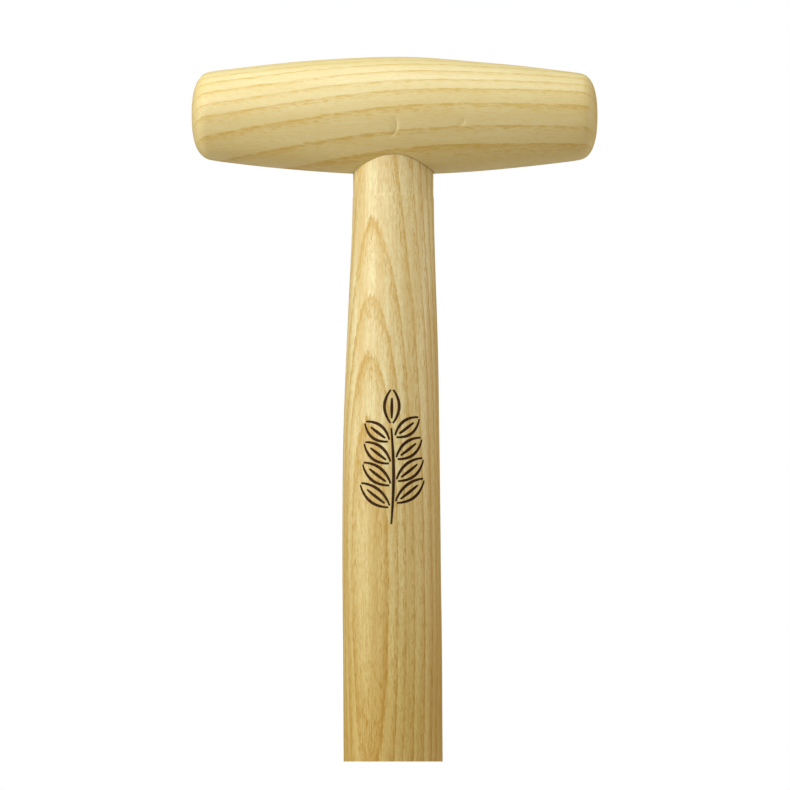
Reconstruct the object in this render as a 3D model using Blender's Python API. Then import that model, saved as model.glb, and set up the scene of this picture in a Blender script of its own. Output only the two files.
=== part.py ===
"""A long-handled garden dibber: an ash T-grip on an ash shaft, riveted into a steel socket
that carries a conical point and two foot treads.

Units are metres. +Z runs up the shaft, the origin is the tip of the point, the T-grip lies
along X, and the front of the tool faces -Y.
"""

import math

import bmesh
import bpy

# ---- Driving dimensions -------------------------------------------------------------------

GAP = 0.0003                    # clearance between pieces that touch on the real tool
OVERCUT = 0.010                 # how far a cutter runs past the surface it opens
ROUND_SEGMENTS = 48             # facets round a turned piece
SMALL_SEGMENTS = 24             # facets round a rivet, dowel or hole
CORNER_STEPS = 6                # facets on a rounded corner or a low dome
SHARP_ANGLE = 35                # degrees, above which two faces meet in a hard edge

# T-grip, a turned barrel
GRIP_AXIS_HEIGHT = 0.930
GRIP_HALF_LENGTH = 0.075
GRIP_RADIUS = 0.02175           # at the middle
GRIP_END_RADIUS = 0.0154        # where the taper would meet the end, before its corner is rounded
GRIP_TAPER_POWER = 1.75         # 1 would be a straight cone, 2 a parabola
GRIP_CORNER_DEPTH = 0.007       # how far in from the end the corner starts to round
GRIP_CORNER_POWER = 2.8         # 2 would be an ellipse, more is squarer
GRIP_FLAT_RADIUS = 0.005        # small flat left by the lathe centre
GRIP_BORE_TOP = 0.011           # how far the blind bore reaches above the grip's axis

# Ash shaft
TENON_RADIUS = 0.0149           # upper tenon, inside the grip
TENON_CHAMFER = 0.001
SHAFT_RADIUS = 0.0184           # full thickness
SHAFT_NECKING = 0.00335         # how much thinner the shaft is just under its tenon
SHAFT_TAPER_LENGTH = 0.062
SHAFT_TAPER_POWER = 1.6
SHAFT_TAPER_END = 0.186         # where the taper has died away
SHOULDER_DROP = 0.030           # from the grip's axis down to the tenon's shoulder

# Dowel that locks the grip on the tenon, driven in from the back
DOWEL_RADIUS = 0.004
DOWEL_COVER = 0.004             # wood left in front of the dowel's blind end

# Conical point, with a spigot that fills the bottom of the socket
POINT_LENGTH = 0.165
TIP_RADIUS = 0.003
SPIGOT_LENGTH = 0.040

# Rolled steel socket
SOCKET_RADIUS = 0.019
SOCKET_WALL = 0.0016
SOCKET_LENGTH = 0.112
SOCKET_RIM_BEVEL = 0.0005
SEAM_WIDTH = 0.0024
SEAM_START = 0.048              # height above the socket's lower rim

# Foot treads
TREAD_REACH = 0.0745            # from the shaft's axis to the end of a tread
TREAD_WIDTH = 0.032
TREAD_THICKNESS = 0.006
TREAD_CORNER = 0.010
TREAD_LIFT = 0.012              # from the socket's lower rim to a tread's underside

# Rivets, along Y, with their heads at the front and a burr under the peened end
RIVET_RADIUS = 0.003
RIVET_HEAD_RADIUS = 0.0055
RIVET_HEAD_HEIGHT = 0.0020
PEEN_RADIUS = 0.0044
PEEN_HEIGHT = 0.0009
BURR_RADIUS = 0.0062
BURR_THICKNESS = 0.0010
RIVET_DROPS = {"upper": 0.018, "lower": 0.046}   # below the socket's upper rim

# ---- Places worked out from the dimensions ------------------------------------------------

SOCKET_BOTTOM = POINT_LENGTH
SOCKET_TOP = SOCKET_BOTTOM + SOCKET_LENGTH
SOCKET_BORE = SOCKET_RADIUS - SOCKET_WALL
SPIGOT_TOP = SOCKET_BOTTOM + SPIGOT_LENGTH
FOOT_RADIUS = SOCKET_BORE - GAP              # spigot, and the shaft's lower tenon
SHAFT_BOTTOM = SPIGOT_TOP + GAP
SHOULDER_HEIGHT = GRIP_AXIS_HEIGHT - SHOULDER_DROP
TENON_TOP = GRIP_AXIS_HEIGHT + GRIP_BORE_TOP - GAP
BURR_FACE = SOCKET_RADIUS + GAP + BURR_THICKNESS
TREAD_HEIGHT = SOCKET_BOTTOM + TREAD_LIFT
RIVET_HEIGHTS = {level: SOCKET_TOP - drop for level, drop in RIVET_DROPS.items()}

# ---- Colours, linear ----------------------------------------------------------------------

PALE_ASH = (0.76, 0.60, 0.29)
GOLDEN_ASH = (0.67, 0.47, 0.19)
DARK_LACQUER = (0.030, 0.034, 0.032)
WORN_STEEL = (0.42, 0.41, 0.39)
RIVET_STEEL = (0.30, 0.29, 0.28)


# ---- Scene and materials ------------------------------------------------------------------

def clear_scene():
    for old in list(bpy.data.objects):
        bpy.data.objects.remove(old, do_unlink=True)


def principled(name, colour, roughness, metallic):
    material = bpy.data.materials.new(name)
    material.use_nodes = True
    shader = material.node_tree.nodes["Principled BSDF"]
    shader.inputs["Base Color"].default_value = (*colour, 1.0)
    shader.inputs["Roughness"].default_value = roughness
    shader.inputs["Metallic"].default_value = metallic
    return material


def ash(name, colour):
    """Sanded ash under a thin wax finish."""
    return principled(name, colour, roughness=0.48, metallic=0.0)


def lacquered_steel(name):
    return principled(name, DARK_LACQUER, roughness=0.42, metallic=0.3)


def bare_steel(name, colour):
    return principled(name, colour, roughness=0.38, metallic=1.0)


# ---- Outlines -----------------------------------------------------------------------------

def arc(centre, radius, start, end, steps):
    """Points on a circle from one angle to another, in degrees, both ends included."""
    angles = [math.radians(start + (end - start) * i / steps) for i in range(steps + 1)]
    return [
        (centre[0] + radius * math.cos(a), centre[1] + radius * math.sin(a)) for a in angles
    ]


def dome(radius, base, height):
    """Profile of a low elliptical cap, from its rim at the base height to its crown."""
    angles = [math.pi / 2 * i / CORNER_STEPS for i in range(CORNER_STEPS + 1)]
    return [(radius * math.cos(a), base + height * math.sin(a)) for a in angles]


def grip_radius(distance):
    """The barrel's radius at a distance from its middle: a gentle taper, then a round corner."""
    taper = (distance / GRIP_HALF_LENGTH) ** GRIP_TAPER_POWER
    barrel = GRIP_RADIUS - (GRIP_RADIUS - GRIP_END_RADIUS) * taper
    # The corner's curve would close on the axis just past the end, and the flat cuts it short.
    flat_share = (GRIP_FLAT_RADIUS / GRIP_END_RADIUS) ** GRIP_CORNER_POWER
    curve_at_flat = (1 - flat_share) ** (1 / GRIP_CORNER_POWER)
    into_corner = max(0.0, distance - GRIP_HALF_LENGTH + GRIP_CORNER_DEPTH) / GRIP_CORNER_DEPTH
    curve = (curve_at_flat * into_corner) ** GRIP_CORNER_POWER
    return barrel * (1 - curve) ** (1 / GRIP_CORNER_POWER)


def grip_profile(barrel_steps=9, corner_steps=8):
    """Half of the barrel from the middle to the end flat, mirrored for the other half."""
    corner_start = GRIP_HALF_LENGTH - GRIP_CORNER_DEPTH
    distances = [corner_start * i / barrel_steps for i in range(barrel_steps)]
    for i in range(corner_steps + 1):
        eased = math.sin(math.pi / 2 * i / corner_steps)
        distances.append(corner_start + GRIP_CORNER_DEPTH * eased)
    half = [(grip_radius(d), d) for d in distances] + [(0.0, GRIP_HALF_LENGTH)]
    mirrored = [(radius, -height) for radius, height in reversed(half[1:])]
    return mirrored + half


def shaft_radius(drop):
    """The shaft's radius at a depth below the shoulder: thin at the neck, easing out to full."""
    fullness = (drop / SHAFT_TAPER_LENGTH) ** SHAFT_TAPER_POWER
    return SHAFT_RADIUS - SHAFT_NECKING * math.exp(-fullness)


def shaft_profile(taper_steps=16):
    """From the lower tenon in the socket to the upper tenon in the grip, above its own foot."""
    rim = SOCKET_TOP + GAP - SHAFT_BOTTOM
    foot = [
        (0.0, 0.0),
        (FOOT_RADIUS - TENON_CHAMFER, 0.0),
        (FOOT_RADIUS, TENON_CHAMFER),
        (FOOT_RADIUS, rim),
        (SHAFT_RADIUS, rim),
    ]
    shoulder = SHOULDER_HEIGHT - SHAFT_BOTTOM
    drops = [SHAFT_TAPER_END * i / taper_steps for i in range(taper_steps, -1, -1)]
    taper = [(shaft_radius(drop), shoulder - drop) for drop in drops]
    top = TENON_TOP - SHAFT_BOTTOM
    tenon = [
        (TENON_RADIUS, shoulder),
        (TENON_RADIUS, top - TENON_CHAMFER),
        (TENON_RADIUS - TENON_CHAMFER, top),
        (0.0, top),
    ]
    return foot + taper + tenon


def point_profile():
    """A cone tangent to its rounded tip, with the spigot above a flat shoulder."""
    cone_top = POINT_LENGTH - GAP
    to_rim = math.hypot(SOCKET_RADIUS, cone_top - TIP_RADIUS)
    half_angle = math.atan2(SOCKET_RADIUS, cone_top - TIP_RADIUS) - math.asin(TIP_RADIUS / to_rim)
    tip = arc((0.0, TIP_RADIUS), TIP_RADIUS, -90, -math.degrees(half_angle), CORNER_STEPS)
    spigot = [
        (FOOT_RADIUS, cone_top),
        (FOOT_RADIUS, SPIGOT_TOP - TENON_CHAMFER),
        (FOOT_RADIUS - TENON_CHAMFER, SPIGOT_TOP),
        (0.0, SPIGOT_TOP),
    ]
    return [(0.0, 0.0)] + tip[1:] + [(SOCKET_RADIUS, cone_top)] + spigot


def socket_profile():
    return [
        (0.0, 0.0),
        (SOCKET_RADIUS, 0.0),
        (SOCKET_RADIUS, SOCKET_LENGTH - SOCKET_RIM_BEVEL),
        (SOCKET_RADIUS - SOCKET_RIM_BEVEL, SOCKET_LENGTH),
        (0.0, SOCKET_LENGTH),
    ]


def tread_outline():
    """A bar along +X that starts inside the socket, with its two outer corners rounded."""
    half_width = TREAD_WIDTH / 2
    start = SOCKET_RADIUS / 2
    corner = TREAD_REACH - TREAD_CORNER
    lower = arc((corner, TREAD_CORNER - half_width), TREAD_CORNER, -90, 0, CORNER_STEPS)
    upper = arc((corner, half_width - TREAD_CORNER), TREAD_CORNER, 0, 90, CORNER_STEPS)
    return [(start, -half_width)] + lower + upper + [(start, half_width)]


def seam_outline():
    """The open seam: round at the bottom and running out of the socket's top."""
    top = SOCKET_LENGTH - SEAM_START + OVERCUT
    bottom = arc((0.0, 0.0), SEAM_WIDTH / 2, 180, 360, CORNER_STEPS)
    return bottom + [(SEAM_WIDTH / 2, top), (-SEAM_WIDTH / 2, top)]


def rivet_shank_profile():
    """The rivet's body along +Z: peened end at the bottom, and an end inside the head."""
    seat = -(BURR_FACE + GAP)
    peened_end = reversed(dome(PEEN_RADIUS, -seat, PEEN_HEIGHT))
    peen = [(radius, -height) for radius, height in peened_end]
    into_head = SOCKET_RADIUS + GAP + RIVET_HEAD_HEIGHT / 2
    return peen + [(RIVET_RADIUS, seat), (RIVET_RADIUS, into_head), (0.0, into_head)]


def rivet_head_profile():
    """The head's dome on a skirt that is long enough to be cut to the socket's curve."""
    seat = SOCKET_RADIUS + GAP
    skirt = seat - SOCKET_WALL
    crown = dome(RIVET_HEAD_RADIUS, seat, RIVET_HEAD_HEIGHT)
    return [(0.0, skirt), (RIVET_HEAD_RADIUS, skirt)] + crown


# ---- Solids -------------------------------------------------------------------------------

def finish_mesh(shape, name):
    """Closes a bmesh into a mesh with smooth round faces and sharp edges where it turns."""
    bmesh.ops.remove_doubles(shape, verts=shape.verts, dist=1e-7)
    bmesh.ops.recalc_face_normals(shape, faces=shape.faces)
    mesh = bpy.data.meshes.new(name)
    shape.to_mesh(mesh)
    shape.free()
    mesh.shade_smooth()
    mesh.set_sharp_from_angle(angle=math.radians(SHARP_ANGLE))
    return mesh


def lathe(name, profile, segments=ROUND_SEGMENTS):
    """A mesh turned about Z from (radius, height) points that start and end on the axis."""
    shape = bmesh.new()
    points = [shape.verts.new((radius, 0.0, height)) for radius, height in profile]
    edges = [shape.edges.new(pair) for pair in zip(points, points[1:])]
    bmesh.ops.spin(
        shape, geom=points + edges, cent=(0, 0, 0), axis=(0, 0, 1), angle=math.tau, steps=segments
    )
    return finish_mesh(shape, name)


def prism(name, outline, depth):
    """A mesh with this outline in XY, from Z = 0 to the depth."""
    shape = bmesh.new()
    face = shape.faces.new([shape.verts.new((x, y, 0.0)) for x, y in outline])
    extruded = bmesh.ops.extrude_face_region(shape, geom=[face])
    moved = [item for item in extruded["geom"] if isinstance(item, bmesh.types.BMVert)]
    bmesh.ops.translate(shape, verts=moved, vec=(0.0, 0.0, depth))
    return finish_mesh(shape, name)


def rod(name, radius, start, end, segments=SMALL_SEGMENTS):
    """A plain round bar along Z between two heights."""
    return lathe(name, [(0.0, start), (radius, start), (radius, end), (0.0, end)], segments)


def place(name, mesh, parent, location=(0, 0, 0), rotation=(0, 0, 0)):
    """Puts a mesh in the scene as an object, with its rotation in degrees."""
    piece = bpy.data.objects.new(name, mesh)
    bpy.context.scene.collection.objects.link(piece)
    piece.location = location
    piece.rotation_euler = [math.radians(angle) for angle in rotation]
    piece.parent = parent
    return piece


def guide(name, mesh, parent, location=(0, 0, 0), rotation=(0, 0, 0)):
    """A helper solid for Booleans, which isn't part of the tool."""
    helper = place(name, mesh, parent, location, rotation)
    helper.hide_render = True
    helper.display_type = "WIRE"
    return helper


def combine(piece, helper, operation):
    modifier = piece.modifiers.new(helper.name, "BOOLEAN")
    modifier.operation = operation
    modifier.solver = "EXACT"
    modifier.object = helper


# Rotations that turn a mesh's own +Z to another direction
TO_FRONT = (90, 0, 0)
TO_BACK = (-90, 0, 0)
TO_RIGHT = (0, 90, 0)


# ---- Cutters that shape more than one piece -----------------------------------------------

def socket_clearance_guide(parent):
    """The socket's outside plus a gap: the treads, rivet heads and burrs are coped to it."""
    sleeve = rod("socket_clearance", SOCKET_RADIUS + GAP, -OVERCUT, SOCKET_TOP, ROUND_SEGMENTS)
    return guide("socket_clearance", sleeve, parent)


def rivet_hole_guides(parent):
    """One hole for each rivet, right through the socket, the shaft and the burr."""
    reach = SOCKET_RADIUS + OVERCUT
    hole = rod("rivet_hole", RIVET_RADIUS + GAP, -reach, reach)
    return {
        level: guide(f"rivet_hole_{level}", hole, parent, (0, 0, height), TO_FRONT)
        for level, height in RIVET_HEIGHTS.items()
    }


def dowel_hole_guide(parent):
    """A hole from behind, through the tenon, that stops short of the grip's front."""
    blind_end = DOWEL_COVER - GRIP_RADIUS - GAP
    hole = rod("dowel_hole", DOWEL_RADIUS + GAP, blind_end, GRIP_RADIUS + OVERCUT)
    return guide("dowel_hole", hole, parent, (0, 0, GRIP_AXIS_HEIGHT), TO_BACK)


# ---- Pieces -------------------------------------------------------------------------------

def make_grip(parent, dowel_hole):
    """The barrel, with a blind bore from below for the shaft's tenon."""
    axis = (0, 0, GRIP_AXIS_HEIGHT)
    grip = place("grip", lathe("grip", grip_profile()), parent, axis, TO_RIGHT)
    grip.data.materials.append(ash("grip_ash", PALE_ASH))
    mouth = -GRIP_RADIUS - OVERCUT
    bore = rod("grip_bore", TENON_RADIUS + GAP, mouth, GRIP_BORE_TOP, ROUND_SEGMENTS)
    combine(grip, guide("grip_bore", bore, parent, axis), "DIFFERENCE")
    combine(grip, dowel_hole, "DIFFERENCE")


def make_grip_pin(parent):
    """The locking dowel, cut off flush with the back of the barrel."""
    axis = (0, 0, GRIP_AXIS_HEIGHT)
    body = rod("grip_pin", DOWEL_RADIUS, DOWEL_COVER - GRIP_RADIUS, GRIP_RADIUS + OVERCUT)
    pin = place("grip_pin", body, parent, axis, TO_BACK)
    pin.data.materials.append(ash("dowel_ash", GOLDEN_ASH))
    barrel = guide("grip_blank", lathe("grip_blank", grip_profile()), parent, axis, TO_RIGHT)
    combine(pin, barrel, "INTERSECT")


def make_shaft(parent, dowel_hole, rivet_holes):
    """One length of ash, tenoned at both ends and drilled for the dowel and the rivets."""
    shaft = place("shaft", lathe("shaft", shaft_profile()), parent, (0, 0, SHAFT_BOTTOM))
    shaft.data.materials.append(ash("shaft_ash", GOLDEN_ASH))
    for hole in (dowel_hole, *rivet_holes.values()):
        combine(shaft, hole, "DIFFERENCE")


def make_socket(parent, rivet_holes):
    """A rolled tube, closed round the spigot and open along its seam at the back above it."""
    base = (0, 0, SOCKET_BOTTOM)
    socket = place("socket", lathe("socket", socket_profile()), parent, base)
    socket.data.materials.append(lacquered_steel("socket_lacquer"))
    bore = rod("socket_bore", SOCKET_BORE, -OVERCUT, SOCKET_LENGTH + OVERCUT, ROUND_SEGMENTS)
    combine(socket, guide("socket_bore", bore, parent, base), "DIFFERENCE")
    seam = prism("socket_seam", seam_outline(), SOCKET_RADIUS)
    seam_place = (0, SOCKET_RADIUS + OVERCUT, SOCKET_BOTTOM + SEAM_START)
    combine(socket, guide("socket_seam", seam, parent, seam_place, TO_FRONT), "DIFFERENCE")
    for hole in rivet_holes.values():
        combine(socket, hole, "DIFFERENCE")


def make_point(parent):
    """A solid cone whose spigot is welded into the bottom of the socket."""
    point = place("point", lathe("point", point_profile()), parent)
    point.data.materials.append(bare_steel("point_steel", WORN_STEEL))


def make_treads(parent, socket_clearance):
    """Two foot bars cut from one shape, the left one turned half round the shaft."""
    bar = prism("tread", tread_outline(), TREAD_THICKNESS)
    bar.materials.append(lacquered_steel("tread_lacquer"))
    for name, turn in (("tread_right", 0), ("tread_left", 180)):
        tread = place(name, bar, parent, (0, 0, TREAD_HEIGHT), (0, 0, turn))
        combine(tread, socket_clearance, "DIFFERENCE")


def make_rivet(level, parent, socket_clearance):
    """A rivet with its head hammered down to the socket's curve and its tail peened over."""
    centre = (0, 0, RIVET_HEIGHTS[level])
    head = lathe(f"rivet_{level}", rivet_head_profile(), SMALL_SEGMENTS)
    rivet = place(f"rivet_{level}", head, parent, centre, TO_FRONT)
    rivet.data.materials.append(bare_steel(f"rivet_{level}_steel", RIVET_STEEL))
    combine(rivet, socket_clearance, "DIFFERENCE")
    shank = lathe(f"rivet_shank_{level}", rivet_shank_profile(), SMALL_SEGMENTS)
    combine(rivet, guide(f"rivet_shank_{level}", shank, parent, centre, TO_FRONT), "UNION")


def make_burr(level, parent, socket_clearance, rivet_hole):
    """A washer shaped to the back of the socket, where it bridges the open seam."""
    disc = rod(f"burr_{level}", BURR_RADIUS, SOCKET_BORE, BURR_FACE)
    burr = place(f"burr_{level}", disc, parent, (0, 0, RIVET_HEIGHTS[level]), TO_BACK)
    burr.data.materials.append(bare_steel(f"burr_{level}_steel", RIVET_STEEL))
    combine(burr, socket_clearance, "DIFFERENCE")
    combine(burr, rivet_hole, "DIFFERENCE")


def make_dibber():
    clear_scene()
    dibber = place("dibber", None, None)
    socket_clearance = socket_clearance_guide(dibber)
    rivet_holes = rivet_hole_guides(dibber)
    dowel_hole = dowel_hole_guide(dibber)
    make_grip(dibber, dowel_hole)
    make_grip_pin(dibber)
    make_shaft(dibber, dowel_hole, rivet_holes)
    make_socket(dibber, rivet_holes)
    make_point(dibber)
    make_treads(dibber, socket_clearance)
    for level in RIVET_HEIGHTS:
        make_rivet(level, dibber, socket_clearance)
        make_burr(level, dibber, socket_clearance, rivet_holes[level])


make_dibber()
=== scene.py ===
import math
from dataclasses import dataclass

import bmesh
import bpy
import numpy as np
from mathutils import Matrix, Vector, noise


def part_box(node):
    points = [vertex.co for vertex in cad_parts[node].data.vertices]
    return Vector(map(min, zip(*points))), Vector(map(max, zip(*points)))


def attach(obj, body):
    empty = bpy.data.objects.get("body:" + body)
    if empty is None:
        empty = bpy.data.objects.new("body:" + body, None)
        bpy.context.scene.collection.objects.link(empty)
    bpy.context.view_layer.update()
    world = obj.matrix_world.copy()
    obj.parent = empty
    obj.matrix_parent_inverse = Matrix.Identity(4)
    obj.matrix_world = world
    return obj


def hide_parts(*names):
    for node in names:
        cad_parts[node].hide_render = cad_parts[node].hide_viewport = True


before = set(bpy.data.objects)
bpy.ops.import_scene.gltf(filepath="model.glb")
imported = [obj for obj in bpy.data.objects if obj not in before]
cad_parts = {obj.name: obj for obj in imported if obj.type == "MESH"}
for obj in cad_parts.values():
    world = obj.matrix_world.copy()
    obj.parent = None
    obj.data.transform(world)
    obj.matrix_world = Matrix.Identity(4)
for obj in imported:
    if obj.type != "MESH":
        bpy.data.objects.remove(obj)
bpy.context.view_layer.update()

# The looks of the garden dibber: turned ash grip and shaft, steel socket, treads and point.
# Lengths are metres unless a name or comment says otherwise. The front of the tool faces -Y, and
# an angle round the shaft or the grip is 0 at the front.

MM = 0.001

# ---- Places, from the frame ----------------------------------

GRIP_LOW, GRIP_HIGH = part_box("grip")
GRIP_RADIUS = -GRIP_LOW.y
GRIP_AXIS = Vector((0, 0, GRIP_HIGH.z - GRIP_RADIUS))
SHAFT_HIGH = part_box("shaft")[1]
SHAFT_RADIUS = SHAFT_HIGH.x
SOCKET_LOW, SOCKET_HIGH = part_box("socket")
SOCKET_RADIUS = SOCKET_HIGH.x
DOWEL_LOW, DOWEL_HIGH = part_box("grip_pin")
DOWEL_RADIUS = DOWEL_HIGH.x
BURR_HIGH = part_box("burr_upper")[1]
RIVET_LEVELS = {level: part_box(f"rivet_{level}") for level in ("upper", "lower")}

# ---- Sizes of the details ------------------------------------

FIT = 0.05 * MM                     # clearance of a close hand fit
BORE_CLEARANCE = 0.30 * MM          # between the tenon and the grip's bore
BORE_SHIFT = 0.22 * MM              # the bore sits a little to the right, so its gap shows there
GRIP_OFF_CENTRE = 0.5 * MM          # the barrel sits this much to the right on the shaft
BOW = 0.75 * MM                     # how far the shaft bends to the left
BOW_DROP = 137.0 * MM               # from the grip's axis to where it bends most
BOW_REACH = 60.0 * MM

RIVET_RADIUS = 3.0 * MM
RIVET_TAIL_RADIUS = 4.4 * MM
RIVET_FLAT = 0.4 * MM               # radius of the flat spot on top of its head and its tail
SOCKET_WALL = 1.6 * MM
SOCKET_LIP = 0.5 * MM               # how far the edges of its rims are rounded
SEAM_WIDTH = 2.4 * MM
SEAM_START = 48.0 * MM              # above the socket's lower rim
POINT_LIP = 0.4 * MM
BURR_LIP = 0.3 * MM
TREAD_CORNER = 10.0 * MM            # radius of its outer corners, seen from above
TREAD_EDGE = 0.9 * MM
POINT_WELD_RADIUS = 1.2 * MM
SEAM_WELD_RADIUS = 1.3 * MM
TREAD_WELD_RADIUS = 1.5 * MM
WELD_STEP = 0.4 * MM                # between two rings of a bead
WELD_RIPPLE = 1.7 * MM              # length of one ripple on a bead
WELD_SWELL = 0.10                   # how much thicker a bead is in the middle of a ripple
WELD_RISE = 0.8                     # how high a bead stands, as a share of its radius

# The small faults and the burnt mark are drawn in millimetres, and so are these sizes.
BELT_DEPTH = 0.05                   # of the waves that the sanding belt left
TOP_SLIMMED = 0.5                   # taken off the top of the grip's right half
SLIMMING_START = 5.0                # from the grip's middle to where that starts
SLIMMING_LENGTH = 30.0
CORNER_WEAR = 0.25                  # taken off the round corners of the grip's ends
CORNER_PLACE = 73.0                 # from the grip's middle
CORNER_REACH = 3.0
NAIL_BOWL = 1.1                     # how far a nail mark reaches in from its rim, and out
NAIL_RIM = 0.3
STEM_LOW = -25.0                    # heights over the mark's middle
STEM_HIGH = 10.0
STEM_SWAY = 0.9
LEAF_PAIRS = 4
LOWEST_LEAVES = -18.0
LEAF_SPACING = 8.0
LEAF_WIDTH = 5.4
LEAF_LENGTH = 14.6                  # of the lowest pair
LEAF_SHRINK = 0.9                   # from each pair to the next
LEAF_GAP = 1.0                      # between the stem and a leaf's foot
LEAF_STAGGER = 0.8                  # the right leaf starts this much higher, the left one lower
TOP_LEAF_FOOT = (0.1, 11.4)
TOP_LEAF_LENGTH = 13.0
STROKE_END = 0.38                   # half a stroke's width at its ends
STROKE_SWELL = 0.26                 # and what is added to that in its middle

LEAF_TILT = math.radians(54)        # between the stem and a side leaf
STROKE_FLOOR = 0.85                 # width of a stroke's floor, as a share of its width at the top
MARK_DROP = 125.7 * MM              # from the grip's axis to the middle of the burnt mark
MARK_DEPTH = 0.30 * MM
MARK_CUTTER_RISE = 0.6 * MM         # how far the cutters of the mark stand out of the shaft

# ---- How fine the meshes are: points round each turned piece -

GRIP_COLUMNS = 236
SHAFT_COLUMNS = 156
SOCKET_COLUMNS = 144
POINT_COLUMNS = 112
BORE_COLUMNS = 128
HOLE_COLUMNS = 64
BURR_COLUMNS = 48
DOWEL_COLUMNS = 48
RIVET_COLUMNS = 40
WELD_COLUMNS = 14
FLOOR_COLUMNS = 128
ARC_POINTS = 9                      # on a quarter circle of a rivet's dome or a tread's corner

# ---- The camera and the stage --------------------------------

CAMERA_DISTANCE = 0.909
CAMERA_FIELD = 0.2935               # width of the view at the tool
CAMERA_ASIDE = 0.65 * MM            # to the right of the shaft's axis
CAMERA_DROP = 103.65 * MM           # below the grip's axis
MATTE_AHEAD = 0.15                  # how far in front of the lens the white card stands
MATTE_GLOW = 1.5 * MATTE_AHEAD      # the card is clear to a camera further away than this
MATTE_SHARE = 0.036                 # the share of the picture's height that it covers
FLOOR_RADIUS = 2.2
LIGHT_TARGET = GRIP_AXIS - Vector((0, 0, 0.10))


# ---- How the pieces of ash grew, and how they look -----------

@dataclass
class Growth:
    """The growth rings in a piece of wood. Lengths are mm from the piece's axis."""

    grain: Vector                   # along the fibres
    outward: Vector                 # away from the pith, square to the grain
    pith: float                     # how far away the pith lies
    years: tuple                    # where each year's growth starts, counted outwards
    slope: float = 0.0              # how fast the rings run out to the surface along the grain
    wander: float = 0.0             # how far the rings swing sideways and back along the grain
    wander_length: float = 340.0    # half the length of that swing
    sway: float = 0.3               # depth of the slow waves in the rings
    fringe: float = 0.2             # depth of the ragged edge where a ring is cut at a low angle


@dataclass
class AshLook:
    """The colours of a piece of ash, and how strongly its features show, where 1 is about full."""

    pale: tuple                     # smooth wood
    brown: tuple                    # lines, pores and fibres
    lines: float                    # the sharp line that starts each year
    veil: float                     # that line's fading into the year's smooth wood
    streaks: float                  # fibres and bands along the grain
    darkening_down: tuple = (1, 1, 1)       # both colours reach this many times themselves down the shaft
    reach: float = 1000.0           # mm along the grain to where sanding has closed the pores


def direction(x, y, z):
    return Vector((x, y, z)).normalized()


LEFT_OF_FRONT = math.radians(28)
DARKENING_START = -60.0                # mm over the grip's axis, so both are below it
DARKENING_END = -215.0

GRIP_GROWTH = Growth(
    grain=direction(1, 0, 0),
    outward=direction(0, 0, -1),
    pith=25.0,
    years=(-21.0, -17.6, -14.2, -10.4, -5.8, -1.5, 2.3, 7.3, 13.3, 17.3, 24.6),
    slope=0.061,
    sway=0.5,
    fringe=0.45,
)
SHAFT_GROWTH = Growth(
    grain=direction(0, 0, 1),
    outward=direction(-math.sin(LEFT_OF_FRONT), -math.cos(LEFT_OF_FRONT), 0),
    pith=110.0,
    years=(
        -26.4, -23.1, -19.8, -16.6, -13.4, -10.3, -7.1, -3.9, -0.5,
        3.5, 6.9, 10.1, 13.9, 17.5, 19.9, 21.6, 23.2, 26.0,
    ),
    wander=6.2,
    sway=0.4,
    fringe=0.32,
)
DOWEL_GROWTH = Growth(
    grain=direction(0, 1, 0),
    outward=direction(0.6, 0, 0.8),
    pith=30.0,
    years=(-5.0, -2.2, 0.4, 3.1, 6.0),
)

GRIP_LOOK = AshLook(
    pale=(0.72, 0.65, 0.35), brown=(0.60, 0.41, 0.085),
    lines=0.95, veil=0.5, streaks=0.22, reach=70.0,
)
SHAFT_LOOK = AshLook(
    pale=(0.885, 0.865, 0.57), brown=(0.61, 0.415, 0.11),
    lines=1.35, veil=0.85, streaks=0.75, darkening_down=(0.81, 0.71, 0.44),
)
DOWEL_LOOK = AshLook(
    pale=(0.58, 0.42, 0.19), brown=(0.36, 0.22, 0.08),
    lines=0.9, veil=0.4, streaks=0.5,
)


# ---- Node materials ------------------------------------------

# The sockets of a colour Mix node, by number.
MIX_FACTOR, MIX_FIRST, MIX_SECOND, MIX_RESULT = 0, 6, 7, 2

# Nearly all values of a noise node lie in this range.
NOISE_LOW, NOISE_HIGH = 0.2, 0.8


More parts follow.
